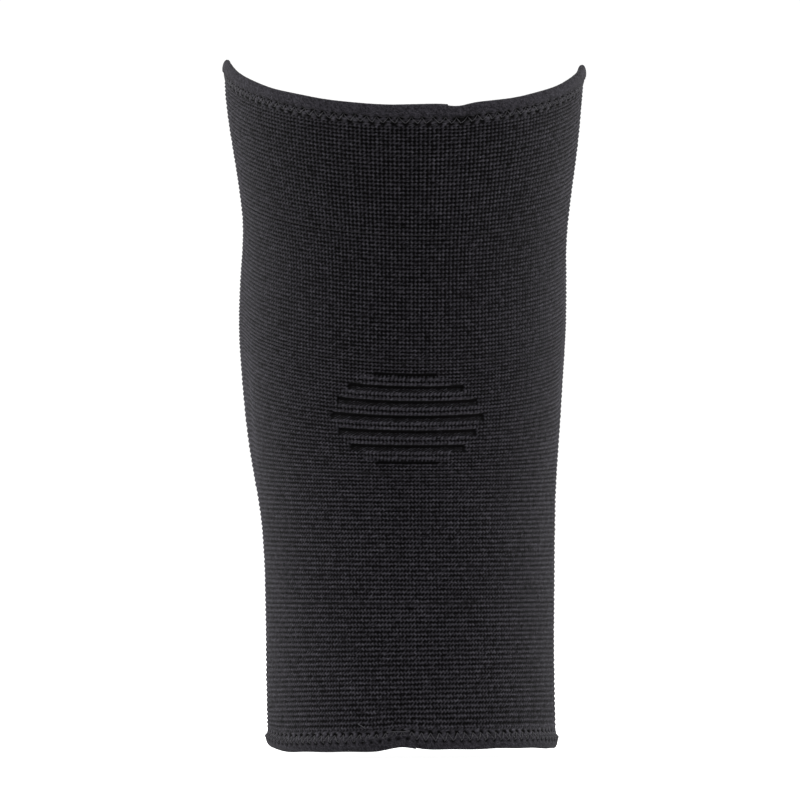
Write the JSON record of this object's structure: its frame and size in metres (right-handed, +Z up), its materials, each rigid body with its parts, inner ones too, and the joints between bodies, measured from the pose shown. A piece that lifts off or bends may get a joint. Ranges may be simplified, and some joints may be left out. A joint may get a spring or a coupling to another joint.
{
  "type": "elbow pad",
  "caption": "Knitted elastic elbow sleeve with a ribbed flex zone in the crook and a foam pad in a pocket over the point of the elbow; it bends with the arm.",
  "frame": {"origin": "centre of the elbow: on the arm's centre line, level with the middle of the flex zone in the crook, on the axis about which the elbow bends", "axes": "+Z up the arm towards the upper rim, -Y out of the crook of the elbow, +Y out of the point of the elbow through the pad, +X to the right of somebody facing the crook"},
  "size_m": [0.115, 0.1407, 0.2205],
  "materials": {
    "knit": "charcoal black elastic knit, soft sheen",
    "binding": "smooth black folded elastic tape",
    "thread": "black textured polyester thread",
    "foam": "moulded closed-cell foam, matt dark grey",
    "lining": "soft brushed knit lining, dark grey",
    "label": "blank grey satin tape"
  },
  "bodies": {
    "upper_arm": {"upper_arm_sleeve": "knit", "elbow_knit": "knit", "upper_binding": "binding", "upper_zigzag_seam": "thread", "foam_pad": "foam", "pad_lining": "lining", "pocket_seam": "thread", "care_label": "label"},
    "forearm": {"forearm_sleeve": "knit", "lower_binding": "binding", "lower_zigzag_seam": "thread"}
  },
  "joints": [
    {"name": "elbow_flex", "type": "hinge", "parent": "upper_arm", "child": "forearm", "pos_m": [0, 0, 0], "axis": [-1, 0, 0], "range_deg": [-17, 75], "stiffness_Nm_per_rad": 0.05, "deforming": ["elbow_knit", "foam_pad", "pad_lining", "pocket_seam"]}
  ]
}
